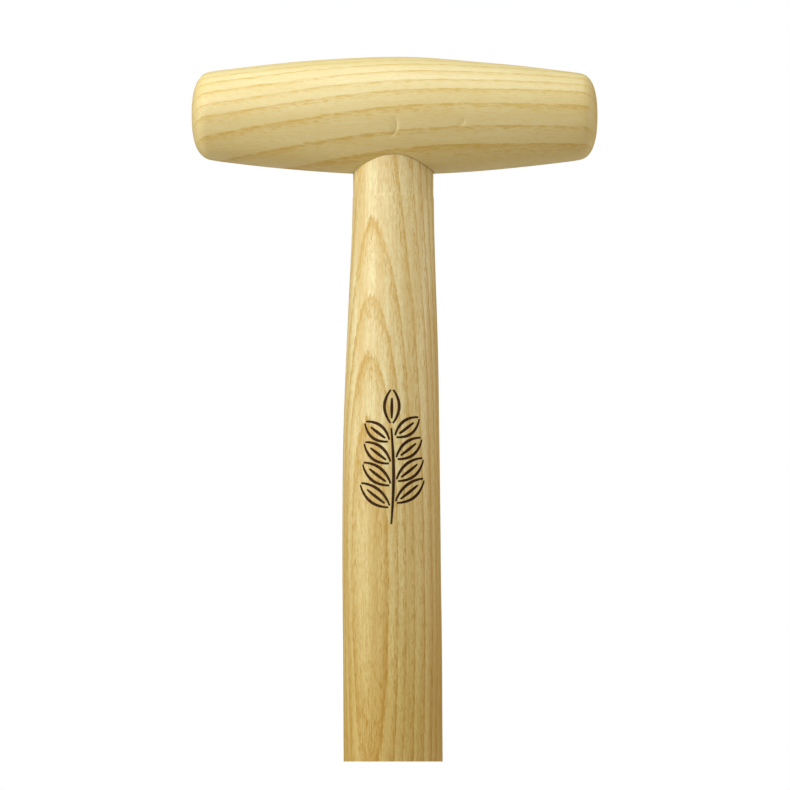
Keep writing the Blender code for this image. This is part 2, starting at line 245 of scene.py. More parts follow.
class Shader:
    """One material and short calls that add its nodes. An input is a value or a node's output."""

    def __init__(self, name):
        self.material = bpy.data.materials.new(name)
        self.material.use_nodes = True
        self.tree = self.material.node_tree
        self.surface = self.tree.nodes["Principled BSDF"]

    def feed(self, socket, value):
        if isinstance(value, bpy.types.NodeSocket):
            self.tree.links.new(value, socket)
        elif socket.type == "RGBA":
            socket.default_value = (*value, 1.0)
        else:
            socket.default_value = value

    def node(self, kind, inputs, output=0, **settings):
        made = self.tree.nodes.new(kind)
        for key, value in settings.items():
            setattr(made, key, value)
        for key, value in inputs.items():
            self.feed(made.inputs[key], value)
        return made.outputs[output]

    def math(self, operation, *values):
        return self.node("ShaderNodeMath", dict(enumerate(values)), operation=operation)

    def product(self, first, *others):
        for other in others:
            first = self.math("MULTIPLY", first, other)
        return first

    def vector(self, operation, *values, output="Vector"):
        inputs = dict(enumerate(values))
        return self.node("ShaderNodeVectorMath", inputs, output, operation=operation)

    def position(self):
        """The point being shaded, in millimetres."""
        place = self.node("ShaderNodeTexCoord", {}, "Object")
        return self.vector("MULTIPLY", place, (1.0 / MM,) * 3)

    def noise(self, point, scale, detail=2.0, roughness=0.5):
        inputs = {"Vector": point, "Scale": scale, "Detail": detail, "Roughness": roughness}
        return self.node("ShaderNodeTexNoise", inputs, "Fac")

    def ramp(self, value, *stops):
        """A curve through (position, value) stops."""
        made = self.tree.nodes.new("ShaderNodeValToRGB")
        self.feed(made.inputs[0], value)
        elements = made.color_ramp.elements
        while len(elements) < len(stops):
            elements.new(1.0)
        for element, (place, level) in zip(elements, stops):
            element.position = place
            element.color = (level, level, level, 1.0)
        return self.node("ShaderNodeSeparateColor", {0: made.outputs[0]}, 0)

    def span(self, value, low, high, new_low=0.0, new_high=1.0):
        """The value moved from one range to another, and held at its ends."""
        inputs = {0: value, 1: low, 2: high, 3: new_low, 4: new_high}
        return self.node("ShaderNodeMapRange", inputs)

    def spread(self, value, low, high):
        """Noise spread over this range."""
        return self.span(value, NOISE_LOW, NOISE_HIGH, low, high)

    def mix(self, factor, first, second):
        made = self.tree.nodes.new("ShaderNodeMix")
        made.data_type = "RGBA"
        self.feed(made.inputs[MIX_FACTOR], factor)
        self.feed(made.inputs[MIX_FIRST], first)
        self.feed(made.inputs[MIX_SECOND], second)
        return made.outputs[MIX_RESULT]

    def bump(self, height, depth):
        inputs = {"Height": height, "Distance": depth, "Strength": 1.0}
        return self.node("ShaderNodeBump", inputs)

    def finish(self, **inputs):
        """The material, with these inputs of its main shader. An underscore stands for a space."""
        for key, value in inputs.items():
            self.feed(self.surface.inputs[key.replace("_", " ")], value)
        return self.material

    def finish_blended(self, factor, first, second):
        """The material, whose surface goes from the first shader to the second with the factor."""
        blend = self.node("ShaderNodeMixShader", {0: factor, 1: first, 2: second})
        self.feed(self.tree.nodes["Material Output"].inputs["Surface"], blend)
        return self.material

    def glow(self):
        return self.node("ShaderNodeEmission", {"Color": (1, 1, 1), "Strength": 1.0})


def grain_noise(shader, point, grain, stretch, scale, detail=2.0, roughness=0.5):
    """Noise whose spots are drawn out along the grain to this many times their width."""
    squeeze = Vector((1, 1, 1)) - grain * (1 - 1 / stretch)
    squeezed = shader.vector("MULTIPLY", point, squeeze)
    return shader.noise(squeezed, scale, detail, roughness)


def ring_depth(shader, point, growth):
    """How far outwards a point lies in the rings, in mm, with all their waves straightened out."""
    grain = growth.grain
    along = shader.vector("DOT_PRODUCT", point, grain, output="Value")
    across = shader.vector("MULTIPLY", point, Vector((1, 1, 1)) - grain)
    from_pith = shader.vector("ADD", across, growth.outward * growth.pith)
    radius = shader.vector("LENGTH", from_pith, output="Value")
    depth = shader.math("SUBTRACT", radius, growth.pith)
    depth = shader.math("MULTIPLY_ADD", along, growth.slope, depth)
    swing = shader.math("SINE", shader.math("MULTIPLY", along, math.pi / growth.wander_length))
    depth = shader.math("MULTIPLY_ADD", swing, -growth.wander, depth)
    waves = grain_noise(shader, point, grain, stretch=8, scale=0.05, detail=1.0)
    fringe = grain_noise(shader, point, grain, stretch=5, scale=1.3, detail=4.0, roughness=0.75)
    depth = shader.math("ADD", depth, shader.spread(waves, -growth.sway, growth.sway))
    return shader.math("ADD", depth, shader.spread(fringe, -growth.fringe, growth.fringe))


def ring_phase(shader, point, growth):
    """How far a point is through its year: 0 at the first earlywood, near 1 in the latewood."""
    first, last = growth.years[0], growth.years[-1]
    gaps = len(growth.years) - 1
    stops = [
        ((start - first) / (last - first), year / gaps)
        for year, start in enumerate(growth.years)
    ]
    share = shader.span(ring_depth(shader, point, growth), first, last)
    years_passed = shader.math("MULTIPLY", shader.ramp(share, *stops), float(gaps))
    return shader.math("FRACT", years_passed)


def darkened_downwards(shader, point, look):
    """The pale and the brown colour, which both turn darker and more saturated down the shaft."""
    height = shader.node("ShaderNodeSeparateXYZ", {0: point}, "Z")
    down = shader.span(height, DARKENING_START, DARKENING_END)
    return [
        shader.mix(down, colour, [part * share for part, share in zip(colour, look.darkening_down)])
        for colour in (look.pale, look.brown)
    ]


def year_lines(shader, point, grain, phase, look):
    """How strongly the sharp line of a year shows, and the veil that fades away behind it.

    The line is broken into dashes, and weaker in some patches than in others. The next year's line
    starts just before the end of the phase, so that it has no hard edge.
    """
    next_line = ((0.955, 0.0), (1.0, 0.6))
    sharp = shader.ramp(phase, (0.0, 1.0), (0.05, 0.9), (0.12, 0.3), (0.22, 0.0), *next_line)
    faded = shader.ramp(phase, (0.0, 1.0), (0.12, 0.7), (0.4, 0.2), (0.7, 0.0), *next_line)
    dashes = grain_noise(shader, point, grain, stretch=6, scale=1.1, detail=3.0, roughness=0.6)
    uneven = grain_noise(shader, point, grain, stretch=20, scale=0.3, detail=1.0)
    patches = grain_noise(shader, point, grain, stretch=6, scale=0.07)
    between_dashes = look.lines / 2 - 0.3 - 0.15 * look.streaks
    along = shader.math("ABSOLUTE", shader.vector("DOT_PRODUCT", point, grain, output="Value"))
    within = shader.span(along, look.reach, look.reach + 3.0, 1.0, 0.15)
    sharp = shader.product(
        sharp,
        shader.span(dashes, 0.42, 0.56, between_dashes, look.lines),
        shader.span(uneven, 0.38, 0.60, 1 - 0.9 * look.streaks, 1.0),
        within,
    )
    faded = shader.product(
        faded, shader.span(patches, 0.35, 0.65, 0.35 * look.veil, look.veil), within
    )
    return sharp, faded


def open_pores(shader, point, grain, phase, look):
    """Short dark scratches along the grain, nearly all of them in the earlywood."""
    scratches = grain_noise(shader, point, grain, stretch=8, scale=2.2, roughness=0.6)
    porous = 0.15 + 0.2 * look.streaks
    early = shader.ramp(phase, (0.0, 1.0), (porous, 0.92), (porous + 0.2, 0.35), (1.0, 0.13))
    return shader.product(shader.span(scratches, 0.53, 0.64), early)


def ash(name, growth, look):
    """Sanded, thinly waxed ash: each year starts with a porous line that fades into smooth wood."""
    shader = Shader(name)
    grain = growth.grain
    point = shader.vector("SUBTRACT", shader.position(), GRIP_AXIS / MM)
    phase = ring_phase(shader, point, growth)
    pale, brown = darkened_downwards(shader, point, look)
    blush = grain_noise(shader, point, grain, stretch=4, scale=0.09)
    bands = grain_noise(shader, point, grain, stretch=30, scale=0.24, detail=1.0)
    sharp, faded = year_lines(shader, point, grain, phase, look)
    pores = open_pores(shader, point, grain, phase, look)
    fibres = grain_noise(shader, point, grain, stretch=24, scale=1.0, detail=5.0, roughness=0.75)
    threads = grain_noise(shader, point, grain, stretch=4, scale=1.5, detail=3.0, roughness=0.75)

    colour = pale
    for share_of_brown in (
        shader.span(blush, 0.35, 0.7, 0.0, 0.15),
        shader.span(bands, 0.38, 0.62, 0.0, 0.55 * look.streaks),
        faded,
        sharp,
        shader.product(pores, 0.8 * look.lines),
        shader.span(fibres, 0.44, 0.68, 0.0, 0.45 * look.streaks),
        shader.span(threads, 0.42, 0.66, 0.0, 0.1 + 0.42 * look.streaks),
    ):
        colour = shader.mix(share_of_brown, colour, brown)

    relief = shader.math("SUBTRACT", shader.product(threads, 0.4), pores)
    rough = shader.math("ADD", shader.spread(fibres, 0.42, 0.54), shader.product(pores, 0.2))
    return shader.finish(
        Base_Color=colour,
        Roughness=rough,
        Normal=shader.bump(relief, 0.05 * MM),
        Specular_IOR_Level=0.5,
    )


def charred_wood():
    """The floor and walls of the burnt strokes."""
    shader = Shader("charred_wood")
    up = Vector((0, 0, 1))
    grain = grain_noise(shader, shader.position(), up, stretch=12, scale=2.0, detail=3.0)
    black, dark_brown = (0.030, 0.013, 0.006), (0.085, 0.040, 0.017)
    return shader.finish(
        Base_Color=shader.mix(shader.span(grain, 0.3, 0.7), black, dark_brown),
        Roughness=0.8,
        Normal=shader.bump(grain, 0.1 * MM),
        Specular_IOR_Level=0.15,
    )


def lacquered_steel():
    """Dark satin lacquer over hammered steel, thin on the edges where bare metal glints through."""
    shader = Shader("lacquered_steel")
    point = shader.position()
    edges = shader.node("ShaderNodeNewGeometry", {}, "Pointiness")
    mottle = shader.noise(point, 0.12, 4.0, 0.6)
    specks = shader.noise(point, 1.6, 3.0, 0.7)
    speckled = shader.span(specks, 0.5, 0.8, -0.3, 0.35)
    wear = shader.math("ADD", shader.span(edges, 0.53, 0.62), speckled)
    wear = shader.product(shader.span(wear, 0.25, 0.8), 0.6)
    lacquer = shader.mix(
        shader.span(mottle, 0.3, 0.7), (0.020, 0.023, 0.022), (0.038, 0.042, 0.040)
    )
    grit = shader.span(specks, 0.3, 0.7, -0.04, 0.04)
    return shader.finish(
        Base_Color=shader.mix(wear, lacquer, (0.30, 0.29, 0.27)),
        Roughness=shader.math("ADD", shader.spread(mottle, 0.34, 0.50), grit),
        Metallic=shader.span(wear, 0.0, 1.0, 0.25, 1.0),
        Normal=shader.bump(specks, 0.08 * MM),
    )


def turned_steel():
    """Bare steel with lathe lines round it and scratches along it."""
    shader = Shader("turned_steel")
    point = shader.position()
    lines = shader.noise(shader.vector("MULTIPLY", point, (0.04, 0.04, 1.0)), 3.0, 4.0, 0.7)
    scratches = shader.noise(shader.vector("MULTIPLY", point, (1.0, 1.0, 0.05)), 2.2, 3.0, 0.6)
    stain = shader.noise(point, 0.06, 4.0, 0.6)
    colour = shader.mix(shader.span(stain, 0.35, 0.75), (0.55, 0.57, 0.59), (0.38, 0.385, 0.38))
    colour = shader.mix(shader.span(lines, 0.35, 0.75, 0.0, 0.35), colour, (0.22, 0.22, 0.22))
    scratched = shader.span(scratches, 0.3, 0.7, -0.05, 0.07)
    return shader.finish(
        Base_Color=colour,
        Roughness=shader.math("ADD", shader.spread(stain, 0.26, 0.42), scratched),
        Metallic=1.0,
        Normal=shader.bump(lines, 0.03 * MM),
    )


def hammered_steel():
    """Bare mild steel of the rivets and burrs, dull and dented."""
    shader = Shader("hammered_steel")
    point = shader.position()
    dents = shader.noise(point, 0.7)
    grime = shader.noise(point, 0.35, 4.0, 0.65)
    bright, dull = (0.40, 0.41, 0.42), (0.17, 0.165, 0.155)
    return shader.finish(
        Base_Color=shader.mix(shader.span(grime, 0.35, 0.7), bright, dull),
        Roughness=shader.spread(grime, 0.32, 0.55),
        Metallic=1.0,
        Normal=shader.bump(dents, 0.15 * MM),
    )


# ---- Mesh work -----------------------------------------------

def shade(mesh):
    """Round faces smooth, real edges sharp."""
    mesh.shade_smooth()
    mesh.set_sharp_from_angle(angle=math.radians(30))


def linked(name, data):
    """A new object in the scene that shows this mesh, light or camera."""
    made = bpy.data.objects.new(name, data)
    bpy.context.scene.collection.objects.link(made)
    return made


def shown(piece, slot, *nodes):
    """The piece rides on the tool and stands for these CAD nodes, which it hides. The slot is not
    used.
    """
    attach(piece, "root")
    if nodes:
        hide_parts(*nodes)


def solid_of_rings(name, rings, closed=False):
    """A mesh through rings of equal size: closed like a hoop, or with a fan over each end."""
    rings = np.asarray(rings, dtype=float)
    rows, columns = rings.shape[:2]
    corners = rings.reshape(-1, 3).tolist()
    index = np.arange(rows * columns).reshape(rows, columns)
    walk = np.vstack([index, index[:1]]) if closed else index
    beside = np.roll(walk, -1, axis=1)
    faces = np.stack([walk[:-1], beside[:-1], beside[1:], walk[1:]], axis=-1)
    faces = faces.reshape(-1, 4).tolist()
    if not closed:
        for end in (0, -1):
            corners.append(rings[end].mean(axis=0).tolist())
            fan = zip(index[end].tolist(), np.roll(index[end], -1).tolist())
            faces += [[first, second, len(corners) - 1] for first, second in fan]
    mesh = bpy.data.meshes.new(name)
    mesh.from_pydata(corners, [], faces)
    shape = bmesh.new()
    shape.from_mesh(mesh)
    bmesh.ops.recalc_face_normals(shape, faces=shape.faces)
    shape.to_mesh(mesh)
    shape.free()
    shade(mesh)
    return mesh


def piece_of_rings(name, rings, material, closed=False):
    piece = linked(name, solid_of_rings(name, rings, closed))
    piece.data.materials.append(material)
    return piece


def round_angles(columns, front_bias=0.0):
    """Angles once round, closer together at the front the nearer the bias is to 1."""
    even = np.linspace(-math.pi, math.pi, columns, endpoint=False)
    return even - front_bias * np.sin(even)


def turned_about_z(outline, angles, offset):
    """Rings of points round the shaft's axis from (height, radius) rows."""
    height, radius = np.array(outline).T[:, :, None]
    radius = radius + offset(height, angles)
    across, ahead = radius * np.sin(angles), -radius * np.cos(angles)
    return np.stack([across, ahead, height + 0 * radius], axis=-1)


def turned_about_x(outline, angles, offset):
    """Rings of points round the grip's axis from (x, radius) rows."""
    x, radius = np.array(outline).T[:, :, None]
    radius = radius + offset(x, angles)
    ahead, height = -radius * np.cos(angles), GRIP_AXIS.z + radius * np.sin(angles)
    return np.stack([x + 0 * radius, ahead, height], axis=-1)


def turned_about_y(outline, angles, middle):
    """Rings of points round an axis from front to back at this height, from (y, radius) rows."""
    y, radius = np.array(outline).T[:, :, None]
    across, height = radius * np.cos(angles), middle + radius * np.sin(angles)
    return np.stack([across, y + 0 * across, height], axis=-1)


X_AXIS, Z_AXIS = 0, 2


def cad_rings(node, axis, centre=(0, 0, 0)):
    """The (position, radius) of every full ring of a turned CAD solid, in order along its axis."""
    beside = [other for other in range(3) if other != axis]
    corners = np.array([vertex.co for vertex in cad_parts[node].data.vertices])
    radius = np.hypot(*(corners[:, other] - centre[other] for other in beside))
    pairs = np.round(np.column_stack([corners[:, axis], radius]), 5)
    rings, counts = np.unique(pairs, axis=0, return_counts=True)
    return rings[counts > counts.max() / 2]


def smooth_outline(points, spacing):
    """Points at an even spacing on a smooth curve through these points."""
    points = np.asarray(points)
    chord = np.insert(np.cumsum(np.linalg.norm(np.diff(points, axis=0), axis=1)), 0, 0.0)
    slopes = np.gradient(points, chord, axis=0)
    at = np.linspace(0.0, chord[-1], max(2, round(chord[-1] / spacing)))
    start = np.clip(np.searchsorted(chord, at, side="right") - 1, 0, len(chord) - 2)
    step = np.diff(chord)[start, None]
    share = (at - chord[start])[:, None] / step
    return (
        (2 * share**3 - 3 * share**2 + 1) * points[start]
        + (share**3 - 2 * share**2 + share) * step * slopes[start]
        + (3 * share**2 - 2 * share**3) * points[start + 1]
        + (share**3 - share**2) * step * slopes[start + 1]
    )


def straight_outline(points, spacing):
    """The same corners, with points at about this spacing on the straight lines between them."""
    points = np.asarray(points, dtype=float)
    parts = []
    for first, second in zip(points, points[1:]):
        count = max(1, round(np.linalg.norm(second - first) / spacing))
        parts.append(np.linspace(first, second, count, endpoint=False))
    return np.vstack([*parts, points[-1:]])


def rounded_corners(points, radius):
    """A closed outline with each corner replaced by a small arc."""
    points = [np.array(point, dtype=float) for point in points]
    befores = points[-1:] + points[:-1]
    afters = points[1:] + points[:1]
    outline = []
    for before, corner, after in zip(befores, points, afters):
        start = corner + (before - corner) * radius / np.linalg.norm(before - corner)
        end = corner + (after - corner) * radius / np.linalg.norm(after - corner)
        for share in np.linspace(0.0, 1.0, 5):
            rest = 1 - share
            outline.append(rest**2 * start + 2 * share * rest * corner + share**2 * end)
    return outline


def flat_ended(outline, radii):
    """A turned outline with narrower rings added in the plane of each of its ends."""
    first, last = outline[0][0], outline[-1][0]
    opening = [(first, radius) for radius in radii]
    closing = [(last, radius) for radius in reversed(radii)]
    return opening + [tuple(point) for point in outline] + closing


def rod(name, radius, start, end, columns=HOLE_COLUMNS):
    """A plain round cutter between two points."""
    start, end = Vector(start), Vector(end)
    turn = (end - start).to_track_quat("Z", "Y").to_matrix()
    circle = [
        turn @ Vector((radius * math.cos(angle), radius * math.sin(angle), 0))
        for angle in round_angles(columns)
    ]
    rings = [[point + middle for point in circle] for middle in (start, end)]
    return linked(name, solid_of_rings(name, rings))


def apply_modifiers(piece):
    graph = bpy.context.evaluated_depsgraph_get()
    mesh = bpy.data.meshes.new_from_object(piece.evaluated_get(graph))
    piece.modifiers.clear()
    piece.data = mesh
    shade(mesh)


def carve(piece, *cutters):
    """Cuts these solids out of the piece. The cut faces keep the cutters' materials."""
    for cutter in cutters:
        modifier = piece.modifiers.new(cutter.name, "BOOLEAN")
        modifier.operation = "DIFFERENCE"
        modifier.solver = "EXACT"
        modifier.material_mode = "TRANSFER"
        modifier.object = cutter
    apply_modifiers(piece)
    for cutter in cutters:
        bpy.data.objects.remove(cutter, do_unlink=True)


def soften(piece, width):
    """Rounds the piece's hard edges."""
    modifier = piece.modifiers.new("soften", "BEVEL")
    modifier.width = width
    modifier.segments = 3
    modifier.limit_method = "ANGLE"
    modifier.angle_limit = math.radians(40)
    apply_modifiers(piece)


def rivet_holes(name, reach):
    """A cutter for each rivet's hole, reaching this far to the front and the back."""
    holes = []
    for level, (low, high) in RIVET_LEVELS.items():
        middle = (low.z + high.z) / 2
        ends = (0, -reach, middle), (0, reach, middle)
        holes.append(rod(f"{name}_{level}", RIVET_RADIUS + FIT, *ends))
    return holes


# ---- Wood ----------------------------------------------------

def belt_waves(along, angles, *waves):
    """The uneven surface that sanding left, in mm: waves that wind round the piece, multiplied.

    Each wave is its length in mm for one radian, its number of winds round, and its shift.
    """
    height = BELT_DEPTH
    for length, winds, shift in waves:
        height = height * np.sin(along / length + winds * angles + shift)
    return height


def soft_step(value, start, length):
    """0 up to the start and 1 from the length past it, with a soft change between the two."""
    share = np.clip((value - start) / length, 0, 1)
    return share**2 * (3 - 2 * share)


def nail_mark(x, rise, middle, radius, turn, spread, depth):
    """A curved dent, deepest just inside its sharp rim and at this turn round its middle.

    It fades over this spread to both sides. Lengths are mm and angles degrees.
    """
    across, up = x - middle[0], rise - middle[1]
    reach = np.hypot(across, up) - radius
    swing = np.arctan2(up, across) - math.radians(turn)
    swing = np.abs((swing + math.pi) % (2 * math.pi) - math.pi)
    fade = np.exp(-((swing / math.radians(spread)) ** 4))
    bowl = np.where(reach < 0, np.exp(reach / NAIL_BOWL), np.exp(-((reach / NAIL_RIM) ** 2)))
    return -depth * fade * bowl


def grip_surface(x, angles):
    """Small faults of a hand-sanded barrel: waves, slimmer right top, worn corners, nail marks."""
    x_mm = x / MM
    rise_mm = GRIP_RADIUS / MM * np.sin(angles)
    waves = belt_waves(x_mm, angles, (9.0, 3, 0.0), (23.0, -2, 1.0))
    upwards = ((1 + np.sin(angles)) / 2) ** 2
    slimmer = -TOP_SLIMMED * soft_step(x_mm, SLIMMING_START, SLIMMING_LENGTH) * upwards
    from_corner = (np.abs(x_mm) - CORNER_PLACE) / CORNER_REACH
    uneven = 1 + np.sin(2 * angles + np.sign(x_mm))
    worn = -CORNER_WEAR * np.exp(-(from_corner**2)) * uneven
    large_dent = nail_mark(
        x_mm, rise_mm, middle=(-3.6, -5.6), radius=4.6, turn=-10, spread=55, depth=0.34
    )
    small_dent = nail_mark(
        x_mm, rise_mm, middle=(22.9, -4.0), radius=2.4, turn=-40, spread=60, depth=0.24
    )
    dents = np.where(np.cos(angles) > 0, large_dent + small_dent, 0.0)
    return (waves + slimmer + worn + dents) * MM


def grip_centre(y):
    """The point in the middle of the grip's length that lies this far back."""
    return (0, y, GRIP_AXIS.z)


def make_grip():
    """The barrel, with its bore from below and the dowel's hole from behind."""
    outline = smooth_outline(cad_rings("grip", X_AXIS, GRIP_AXIS), 0.42 * MM)
    outline = flat_ended(outline, (1.7 * MM, 3.3 * MM))
    angles = round_angles(GRIP_COLUMNS, front_bias=0.45)
    rings = turned_about_x(outline, angles, grip_surface) + (GRIP_OFF_CENTRE, 0, 0)
    grip = piece_of_rings("grip_wood", rings, ash("ash_grip", GRIP_GROWTH, GRIP_LOOK))
    tenon_radius = cad_rings("shaft", Z_AXIS)[-2][1]    # the last ring is its chamfered end
    below = (BORE_SHIFT, 0, GRIP_LOW.z - GRIP_RADIUS)
    top = (BORE_SHIFT, 0, SHAFT_HIGH.z + FIT)
    bore = rod("grip_bore", tenon_radius + BORE_CLEARANCE, below, top, BORE_COLUMNS)
    blind_end, behind = grip_centre(DOWEL_LOW.y - FIT), grip_centre(2 * GRIP_RADIUS)
    carve(grip, bore, rod("dowel_hole", DOWEL_RADIUS + FIT, blind_end, behind))
    shown(grip, "grip_ash", "grip")


def make_dowel():
    """End grain shows at the back, where the dowel is sanded flush with the barrel."""
    radii = [share * DOWEL_RADIUS for share in (0.3, 0.6, 0.9, 1.0)]
    outline = [(DOWEL_LOW.y, radius) for radius in radii]
    outline += [(DOWEL_HIGH.y, radius) for radius in reversed(radii)]
    rings = turned_about_y(outline, round_angles(DOWEL_COLUMNS), GRIP_AXIS.z)
    y, rise = rings[..., 1], rings[..., 2] - GRIP_AXIS.z
    flush = np.sqrt(np.maximum(GRIP_RADIUS**2 - rise**2, 0)) - FIT
    rings[..., 1] = np.where(y > 0, flush, y)
    dowel = piece_of_rings("grip_dowel", rings, ash("ash_dowel", DOWEL_GROWTH, DOWEL_LOOK))
    shown(dowel, "dowel_ash", "grip_pin")


def shaft_outline():
    """The CAD shaft's rings, with its taper made smooth."""
    rings = cad_rings("shaft", Z_AXIS)
    tenon = rings[-2]
    shoulder = rings[rings[:, 1] > tenon[1]][-1]
    rim = SOCKET_HIGH.z + FIT
    foot = rings[rings[:, 0] < SOCKET_HIGH.z]
    body = rings[(rings[:, 1] > tenon[1]) & (rings[:, 0] > SOCKET_HIGH.z)]
    taper = body[body[:, 0] > rim + 10 * MM]
    step = 0.25 * MM
    in_socket = [*foot[:2], (rim, foot[1][1])]
    over_rim = [(rim, SHAFT_RADIUS - step), (rim + step, SHAFT_RADIUS), taper[0]]
    return np.vstack([
        straight_outline(in_socket, 6 * MM),
        straight_outline(over_rim, 3 * MM)[:-1],
        smooth_outline(taper, 1 * MM)[:-1],
        [(shoulder[0] - 2 * step, shoulder[1])],
        straight_outline([(shoulder[0], tenon[1]), tenon, rings[-1]], 1 * MM),
    ])


def shaft_surface(height, angles):
    """The shaft's slight unevenness from the plane and the sanding belt."""
    down_mm = (GRIP_AXIS.z - height) / MM
    return belt_waves(down_mm, angles, (31.0, 2, 0.0), (12.0, -3, 0.5)) * MM


def bend(shaft):
    """Gives the shaft the slight bow of real wood."""
    for corner in shaft.data.vertices:
        away = (GRIP_AXIS.z - BOW_DROP - corner.co.z) / BOW_REACH
        corner.co.x -= BOW * math.exp(-(away**2))


def stem_sway(up):
    """How far to the right the stem curves at this height, in mm."""
    return STEM_SWAY * np.sin((up - STEM_LOW) / (STEM_HIGH - STEM_LOW) * math.pi)


def leaf_strokes(foot, tilt, length):
    """Two curved sides and a midrib, kept apart, each as (across, up) points in mm."""
    ahead = np.array([math.sin(tilt), math.cos(tilt)])
    aside = np.array([ahead[1], -ahead[0]])
    side = np.linspace(0.03, 0.97, 15)
    bulge = LEAF_WIDTH / 2 * np.sin(math.pi * side) ** 0.8
    middle = np.array(foot) + length * side[:, None] * ahead
    rib = np.array(foot) + length * np.linspace(0.16, 0.74, 8)[:, None] * ahead
    return [middle + bulge[:, None] * aside, middle - bulge[:, None] * aside, rib]


def sprig_strokes():
    """A plain sprig: one stem, pairs of leaves that get shorter upwards, and a leaf at the top."""
    up = np.linspace(STEM_LOW, STEM_HIGH, 30)
    strokes = [np.column_stack([stem_sway(up), up])]
    strokes += leaf_strokes(TOP_LEAF_FOOT, 0.0, TOP_LEAF_LENGTH)
    for pair in range(LEAF_PAIRS):
        start = LOWEST_LEAVES + LEAF_SPACING * pair
        length = LEAF_LENGTH - LEAF_SHRINK * pair
        for side in (-1, 1):
            foot = (stem_sway(start) + side * LEAF_GAP, start + side * LEAF_STAGGER)
            strokes += leaf_strokes(foot, side * LEAF_TILT, length)
    return strokes


def stroke_rings(path, radius_at):
    """A bar that runs along a stroke, from below the shaft's surface to just above it."""
    ahead = np.gradient(path, axis=0)
    aside = np.column_stack([ahead[:, 1], -ahead[:, 0]]) / np.linalg.norm(ahead, axis=1)[:, None]
    half = STROKE_END + STROKE_SWELL * np.sin(np.linspace(0, math.pi, len(path)))
    section = (
        (1, MARK_CUTTER_RISE), (-1, MARK_CUTTER_RISE),
        (-STROKE_FLOOR, -MARK_DEPTH), (STROKE_FLOOR, -MARK_DEPTH),
    )
    rings = []
    for edge, level in section:
        across, up = (path + edge * half[:, None] * aside).T
        height = GRIP_AXIS.z - MARK_DROP + up * MM
        surface = radius_at(height)
        angle = across * MM / surface
        radius = surface + level
        rings.append(np.column_stack([radius * np.sin(angle), -radius * np.cos(angle), height]))
    return np.stack(rings, axis=1)


def burn_mark(shaft, outline):
    """Cuts the sprig into the shaft and leaves the cuts charred."""
    heights, radii = outline.T
    parts = bmesh.new()
    for path in sprig_strokes():
        rings = stroke_rings(path, lambda height: np.interp(height, heights, radii))
        stroke = solid_of_rings("stroke", rings)
        parts.from_mesh(stroke)
        bpy.data.meshes.remove(stroke)
    mesh = bpy.data.meshes.new("sprig")
    parts.to_mesh(mesh)
    parts.free()
    mesh.materials.append(charred_wood())
    carve(shaft, linked("sprig", mesh))


def make_shaft():
    """The shaft, with the burnt mark, the dowel's hole and the rivets' holes."""
    outline = shaft_outline()
    rings = turned_about_z(outline, round_angles(SHAFT_COLUMNS, front_bias=0.25), shaft_surface)
    shaft = piece_of_rings("shaft_wood", rings, ash("ash_shaft", SHAFT_GROWTH, SHAFT_LOOK))
    burn_mark(shaft, outline)
    front, back = grip_centre(-GRIP_RADIUS), grip_centre(GRIP_RADIUS)
    dowel_hole = rod("dowel_hole", DOWEL_RADIUS + FIT, front, back)
    carve(shaft, dowel_hole, *rivet_holes("rivet_hole", SOCKET_RADIUS))
    bend(shaft)
    shown(shaft, "shaft_ash", "shaft")


# ---- Steel ---------------------------------------------------

def hammered(depth, size):
    """A surface offset of shallow dents of this size."""
    def offset(height, angles):
        heights, turns = np.broadcast_arrays(height, angles)
        x, y = np.cos(turns) * SOCKET_RADIUS, np.sin(turns) * SOCKET_RADIUS
        dents = [
            noise.noise(Vector(place) / size)
            for place in zip(x.ravel(), y.ravel(), heights.ravel())
        ]
        return depth * np.array(dents).reshape(heights.shape)
    return offset


def make_socket(lacquer):
    """The rolled tube with its seam at the back."""
    inner = SOCKET_RADIUS - SOCKET_WALL
    low, high = SOCKET_LOW.z, SOCKET_HIGH.z
    section = [(low, inner), (low, SOCKET_RADIUS), (high, SOCKET_RADIUS), (high, inner)]
    outline = rounded_corners(section, SOCKET_LIP)
    outline = straight_outline(outline + outline[:1], 1.6 * MM)[:-1]
    dents = hammered(depth=0.10 * MM, size=7 * MM)
    rings = turned_about_z(outline, round_angles(SOCKET_COLUMNS), dents)
    socket = piece_of_rings("socket_shell", rings, lacquer, closed=True)

    behind = 2 * SOCKET_RADIUS
    half = SEAM_WIDTH / 2
    turns = np.linspace(math.pi, 2 * math.pi, 13)
    round_end = [
        (half * math.cos(turn), low + SEAM_START + half * math.sin(turn)) for turn in turns
    ]
    edge = round_end + [(half, high + 2 * MM), (-half, high + 2 * MM)]
    seam = solid_of_rings("seam", [[(x, y, z) for x, z in edge] for y in (inner / 2, behind)])
    carve(socket, linked("seam", seam), *rivet_holes("socket_hole", behind))
    shown(socket, "dark_lacquer", "socket")


def make_point():
    """The cone with its rounded tip, and the spigot that stands in the socket."""
    rings = cad_rings("point", Z_AXIS)
    rings = rings[np.lexsort((-rings[:, 1], rings[:, 0]))]
    rim = rings[rings[:, 1] > SOCKET_RADIUS - FIT][0]
    tip = rings[rings[:, 0] < 10 * MM]
    side = [tip[-1], (rim[0] - POINT_LIP, rim[1] - FIT), (rim[0], rim[1] - POINT_LIP)]
    outline = np.vstack([
        smooth_outline([(0.0, 0.05 * MM), *tip[1:]], 0.35 * MM),
        straight_outline(side, 1.5 * MM)[1:],
        straight_outline(rings[rings[:, 0] >= rim[0]][1:], 2.0 * MM),
    ])
    dents = hammered(depth=0.05 * MM, size=12 * MM)
    rings = turned_about_z(outline, round_angles(POINT_COLUMNS), dents)
    point = piece_of_rings("point_cone", rings, turned_steel())
    shown(point, "worn_steel", "point")


